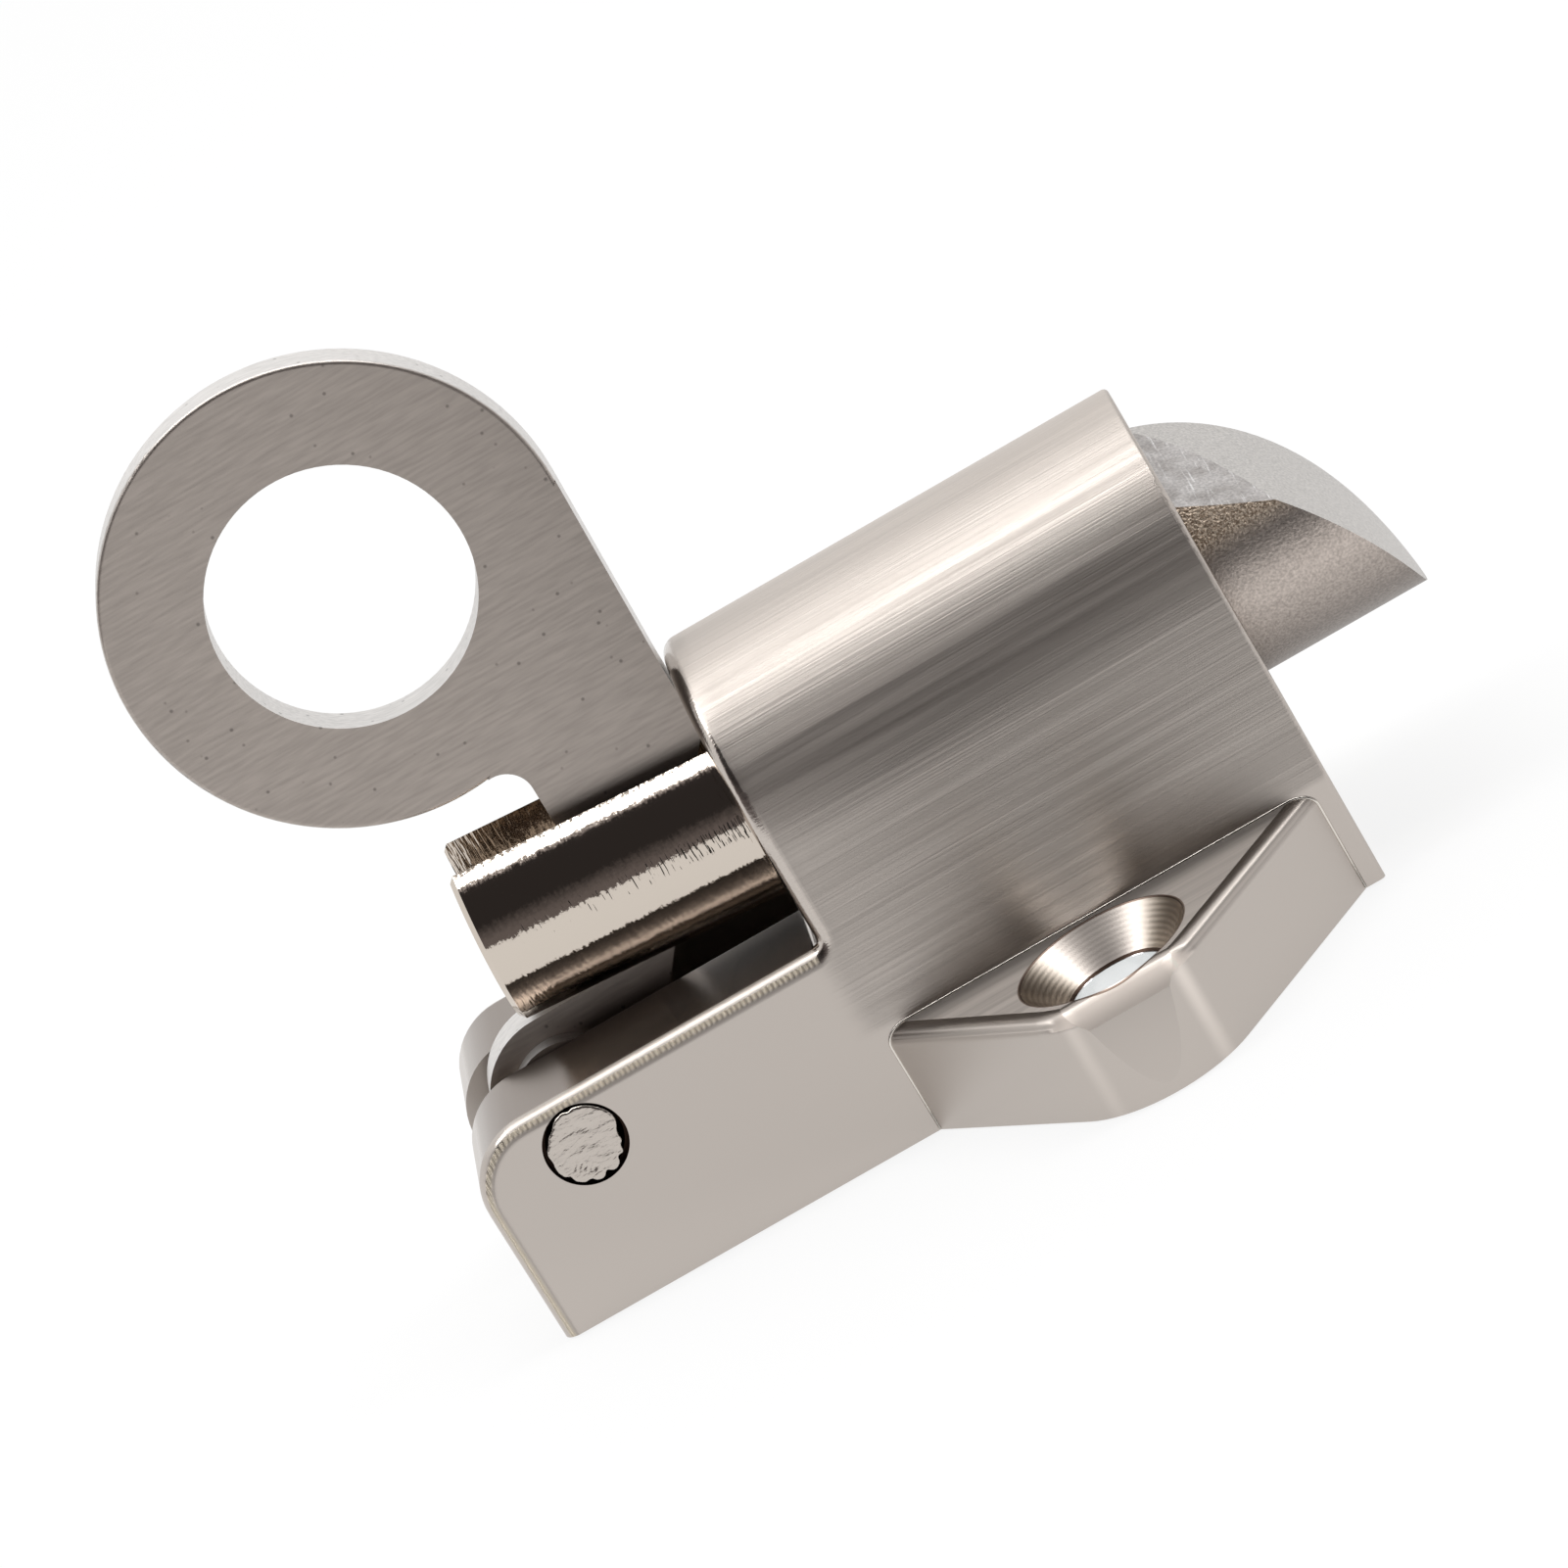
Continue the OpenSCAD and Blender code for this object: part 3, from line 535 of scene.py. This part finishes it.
# file marks 0.15 mm wide and 3 mm long, and the mottle of the plate over them
file_marks = add(tree, "ShaderNodeMapping",
                 {"Vector": place, "Rotation": (0, 0, 0.35), "Scale": (6500, 330, 700)})
file_marks = add(tree, "ShaderNodeTexNoise", {"Vector": file_marks, "Scale": 1.0, "Detail": 2.0})
file_marks = add(tree, "ShaderNodeMapRange", {"Value": file_marks, "From Min": 0.61, "From Max": 0.72})
mottle = add(tree, "ShaderNodeTexNoise", {"Vector": place, "Scale": 700.0, "Detail": 3.0})
mottle = add(tree, "ShaderNodeMapRange", {"Value": mottle, "From Min": 0.35, "From Max": 0.6})

# painted shade: the underside is painted darker, down to half at the bottom
underside_shade = add(tree, "ShaderNodeMapRange", {"Value": facing.outputs["Z"], "From Min": -0.2,
                                         "From Max": -0.7, "To Min": 1.0, "To Max": 0.5})
colour = add(tree, "ShaderNodeMix", {"Factor": on_ramp, "A": linear(BLASTED), "B": RAMP},
             data_type="RGBA").outputs["Result"]
grain = add(tree, "ShaderNodeTexNoise", {"Vector": place, "Scale": 9000.0, "Detail": 1.0})
grain = add(tree, "ShaderNodeMapRange", {"Value": grain, "From Min": 0.4, "From Max": 0.62})
grain = add(tree, "ShaderNodeMix", {"Factor": grain, "A": GRIT_DARK, "B": GRIT_LIGHT},
            data_type="RGBA").outputs["Result"]
colour = add(tree, "ShaderNodeMix", {"Factor": coarse, "A": colour, "B": grain},
             data_type="RGBA").outputs["Result"]
filed = add(tree, "ShaderNodeMix", {"Factor": mottle, "A": GROUND_DARK, "B": GROUND_LIGHT},
            data_type="RGBA").outputs["Result"]
filed = add(tree, "ShaderNodeMix", {"Factor": file_marks, "A": filed, "B": FILE_MARK},
            data_type="RGBA").outputs["Result"]
colour = add(tree, "ShaderNodeMix", {"Factor": on_flat, "A": colour, "B": filed},
             data_type="RGBA").outputs["Result"]
speckle = add(tree, "ShaderNodeMapRange",
              {"Value": grit, "From Min": 0.3, "From Max": 0.7, "To Min": 0.74, "To Max": 1.16})
speckle = add(tree, "ShaderNodeMath", {0: speckle, 1: underside_shade}, operation="MULTIPLY")
colour = add(tree, "ShaderNodeVectorMath", {0: colour, "Scale": speckle}, operation="SCALE")
tree.links.new(colour.outputs[0], shader.inputs["Base Color"])
rough = add(tree, "ShaderNodeMix", {"Factor": coarse, "A": SMOOTH, "B": COARSE})
tree.links.new(rough.outputs[0], shader.inputs["Roughness"])
bump = add(tree, "ShaderNodeBump", {"Strength": 0.5, "Distance": 0.04 * MM, "Height": grit})
deep = add(tree, "ShaderNodeBump", {"Strength": 1.0, "Distance": 0.09 * MM, "Height": grit})
bump = add(tree, "ShaderNodeMix", {"Factor": coarse, "A": bump, "B": deep},
           data_type="VECTOR")
tree.links.new(bump.outputs["Result"], shader.inputs["Normal"])
dress("latch_bolt", blasted)

# The tail rod is turned steel with bright nickel plate, and so is the pin
# across it. Fine turning rings and a light orange peel make the edges of its
# reflections ragged.
bright_nickel, tree, shader, place = new_metal("bright_nickel_plate", "#cdc3b8", 0.07)
# rings 0.17 mm apart, and a peel of 0.26 mm
rings = add(tree, "ShaderNodeMapping", {"Vector": place, "Scale": (6000, 900, 900)})
rings = add(tree, "ShaderNodeTexNoise", {"Vector": rings, "Scale": 1.0, "Detail": 1.0})
peel = add(tree, "ShaderNodeTexNoise", {"Vector": place, "Scale": 3800.0, "Detail": 2.0})
bump = add(tree, "ShaderNodeBump", {"Strength": 0.6, "Distance": 0.05 * MM, "Height": rings})
bump = add(tree, "ShaderNodeBump",
           {"Strength": 0.3, "Distance": 0.02 * MM, "Height": peel, "Normal": bump})
tree.links.new(bump.outputs[0], shader.inputs["Normal"])
dress("tail_rod", bright_nickel)
dress("cross_pin", bright_nickel)

# The ring lever is stamped from 2.7 mm plate, brushed flat along the bolt
# before plating, and has small pits that the brush left.
FACE = "#aea59e"
EDGE = linear("#dcd9d6")

brushed, tree, shader, place = new_metal("brushed_nickel_plate", FACE, 0.38, anisotropy=0.5)
normal = add(tree, "ShaderNodeNewGeometry").outputs["Normal"]
across = add(tree, "ShaderNodeVectorMath", {0: normal, 1: (1, 0, 0)}, operation="CROSS_PRODUCT")
across = add(tree, "ShaderNodeVectorMath", {0: across, 1: (0, 0.001, 0.002)}, operation="ADD")
tree.links.new(across.outputs[0], shader.inputs["Tangent"])
# brush marks 0.2 mm wide and 2 mm long, and pits a millimetre apart
fine = add(tree, "ShaderNodeMapping", {"Vector": place, "Scale": (500, 5000, 5000)})
fine = add(tree, "ShaderNodeTexNoise", {"Vector": fine, "Scale": 1.0, "Detail": 3.0})
pits = add(tree, "ShaderNodeTexVoronoi", {"Vector": place, "Scale": 900.0})
pit = add(tree, "ShaderNodeMapRange", {"Value": pits.outputs["Distance"], "From Min": 0.05,
                                       "From Max": 0.12, "To Min": 0.55, "To Max": 1.0})
tone = add(tree, "ShaderNodeMapRange",
           {"Value": fine, "From Min": 0.3, "From Max": 0.7, "To Min": 0.9, "To Max": 1.1})
tone = add(tree, "ShaderNodeMath", {0: tone, 1: pit}, operation="MULTIPLY")
face_on = add(tree, "ShaderNodeSeparateXYZ", {0: normal}).outputs["Y"]
face_on = add(tree, "ShaderNodeMath", {0: face_on}, operation="ABSOLUTE")
face_on = add(tree, "ShaderNodeMapRange", {"Value": face_on, "From Min": 0.3, "From Max": 0.8})
colour = add(tree, "ShaderNodeMix", {"Factor": face_on, "A": EDGE, "B": linear(FACE)},
             data_type="RGBA").outputs["Result"]
colour = add(tree, "ShaderNodeVectorMath", {0: colour, "Scale": tone}, operation="SCALE")
tree.links.new(colour.outputs[0], shader.inputs["Base Color"])
bump = add(tree, "ShaderNodeBump", {"Strength": 0.4, "Distance": 0.02 * MM, "Height": fine})
tree.links.new(bump.outputs[0], shader.inputs["Normal"])
dress("ring_lever", brushed)

# The spring is zinc-plated wire, wound round the rod inside the barrel. Its
# end coils are closed, so that they stand flat on the barrel's rear wall and
# on the latch bolt. The real one flattens as the bolt draws back; this one is
# built at one length and fixed to the housing.
WIRE_D = 0.9 * MM
SPRING_RADIUS = 6.52 * MM
SPRING_START = -9.23 * MM
SPRING_END = 4.63 * MM
SPRING_AXIS = 17.85 * MM
COILS = 6.5
CLOSED_COILS = 0.8


def coiled_wire(steps, sides):
    """A tube of sides points round a helix along X. The pitch is one wire in the closed end coils and
    wider between them: it is summed along the turns, then stretched to the spring's length. At each
    step the tube's circle lies in the plane of the axis and the radius."""
    turn = np.linspace(0, COILS, steps)
    from_end = np.minimum(turn, COILS - turn)
    opened = np.clip((from_end - CLOSED_COILS) / 0.5, 0, 1)
    spare = SPRING_END - SPRING_START - COILS * WIRE_D
    climb = np.concatenate([[0], np.cumsum((opened[1:] + opened[:-1]) / 2 * np.diff(turn))])
    x = SPRING_START + WIRE_D * turn + spare * climb / climb[-1]
    x, angle = x[:, None], 2 * pi * turn[:, None]
    round_wire = np.linspace(2 * pi, 0, sides, endpoint=False)[None, :]
    radius = SPRING_RADIUS + WIRE_D / 2 * np.cos(round_wire)
    points = np.stack([x + WIRE_D / 2 * np.sin(round_wire), radius * np.sin(angle),
                       SPRING_AXIS + radius * np.cos(angle)], axis=-1)
    return points


wire, tree, shader, place = new_metal("zinc_plated_wire", "#9a9894", 0.25)
# marks of the drawing die, 0.4 mm apart
drawn = add(tree, "ShaderNodeTexNoise", {"Vector": place, "Scale": 2500.0, "Detail": 2.0})
bump = add(tree, "ShaderNodeBump", {"Strength": 0.2, "Distance": 0.02 * MM, "Height": drawn})
tree.links.new(bump.outputs[0], shader.inputs["Normal"])

spring = closed_tube("compression_spring", coiled_wire(steps=int(COILS * 48) + 1, sides=14))
spring.data.materials.append(wire)
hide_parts("bolt_spring")
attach(spring, "housing")
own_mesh(spring)

# The pivot pin is plain steel rod, pushed through the cheeks and the lever.
# Its ends are peened over in shallow counterbores, which leaves hammered
# faces with nicked outlines.
PIN_RADIUS = 2.1 * MM
PIN_HALF = 9.82 * MM
PIN_SPREAD = 0.09 * MM
PIN_EDGE = 0.18 * MM
SHAFT_DEPTH = 0.65 * MM
# each nick of the near head: its angle and half-width in degrees, and its depth
NICKS = np.array([(350, 18, 0.38), (326, 8, 0.22), (308, 7, 0.28), (277, 6, 0.28), (249, 6, 0.16),
                  (217, 6, 0.15), (180, 12, 0.14), (150, 12, 0.18), (128, 12, 0.20), (88, 5, 0.09)])


def peened_pin(around):
    """A pin along Y as a profile turned through a circle. The profile runs over the near face, round
    its edge and down to the shaft, then the same way out over the far face. The radius is the
    profile's, wider by the spread at the head and less the nicks, each a bell curve of the angle.
    Spread and nicks fade out down the side. The faces carry hammer marks: waves, a crease and one
    row of dents, which fade out towards the edge."""
    angle = np.linspace(0, 2 * pi, around, endpoint=False)[None, :]
    off = (np.degrees(angle)[..., None] - NICKS[:, 0] + 180) % 360 - 180
    nick = (NICKS[:, 2] * MM * np.exp(-(off / NICKS[:, 1]) ** 2)).sum(axis=-1)
    face = np.linspace(0.04, 1, 22) * (PIN_RADIUS - PIN_EDGE)
    bend = np.linspace(0, pi / 2, 7)[1:]
    corner = PIN_RADIUS - PIN_EDGE + PIN_EDGE * np.sin(bend)
    inset = np.concatenate([face, corner, [PIN_RADIUS, PIN_RADIUS]])
    depth = np.concatenate([0 * face, PIN_EDGE * (1 - np.cos(bend)), [SHAFT_DEPTH / 2, SHAFT_DEPTH]])
    fade = np.clip(1.5 - depth / SHAFT_DEPTH * 1.5, 0, 1)
    radius = inset[:, None] * (1 + (PIN_SPREAD - nick) * fade[:, None] / PIN_RADIUS)
    across, upward = radius * np.cos(angle), radius * np.sin(angle)
    row, step = (0.53 * across + 0.85 * upward) / MM, (0.85 * across - 0.53 * upward) / MM
    dents = 0.10 * np.exp(-((row + 1.3) / 0.16) ** 2) * (0.5 + 0.5 * np.cos(23 * step))
    dents *= np.abs(step) < 0.75
    crease = 0.04 * np.exp(-((row - 1.15 + 0.25 * np.cos(2.2 * step)) / 0.17) ** 2)
    crease *= np.abs(step + 0.1) < 0.8
    waves = 0.012 * np.sin(3.1 * row + 1.7 * step) + 0.010 * np.sin(7 * row - 2.4 * step + 1.0)
    inward = np.clip(1.6 - 1.4 * inset / PIN_RADIUS, 0, 1)[:, None]
    marks = (dents + crease + waves + 0.012) * MM * inward
    sunk = np.where(depth[:, None] < PIN_EDGE, depth[:, None] + marks, depth[:, None])
    near = np.stack([PIN_CENTRE[0] + across, -PIN_HALF + sunk, PIN_CENTRE[1] + upward], axis=-1)
    far = near[::-1] * (1, -1, 1)
    return np.concatenate([near, far])


STEEL = "#c5bdb5"
hammered, tree, shader, place = new_metal("hammered_steel", STEEL, 0.26)
# painted shade: the pin's side, from just below the head's edge, is painted near black for the gap in
# the counterbore
sunk = add(tree, "ShaderNodeSeparateXYZ", {0: place}).outputs["Y"]
sunk = add(tree, "ShaderNodeMath", {0: sunk}, operation="ABSOLUTE")
sunk = add(tree, "ShaderNodeMapRange",
           {"Value": sunk, "From Min": PIN_HALF - 0.15 * MM, "From Max": PIN_HALF - 0.25 * MM})
colour = add(tree, "ShaderNodeMix", {"Factor": sunk, "A": linear(STEEL), "B": GAP_SHADE},
             data_type="RGBA").outputs["Result"]
tree.links.new(colour, shader.inputs["Base Color"])
# blows 0.7 mm across, on the slant
blows = add(tree, "ShaderNodeMapping",
            {"Vector": place, "Rotation": (0, 0.55, 0), "Scale": (1500, 1500, 4000)})
blows = add(tree, "ShaderNodeTexNoise", {"Vector": blows, "Scale": 1.0, "Detail": 3.0})
bump = add(tree, "ShaderNodeBump", {"Strength": 0.9, "Distance": 0.08 * MM, "Height": blows})
tree.links.new(bump.outputs[0], shader.inputs["Normal"])

ends = [(PIN_CENTRE[0], side * PIN_HALF, PIN_CENTRE[1]) for side in (-1, 1)]
pin = closed_tube("peened_pin", peened_pin(around=180), poles=ends)
pin.data.materials.append(hammered)
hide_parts("pivot_pin")
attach(pin, "housing")
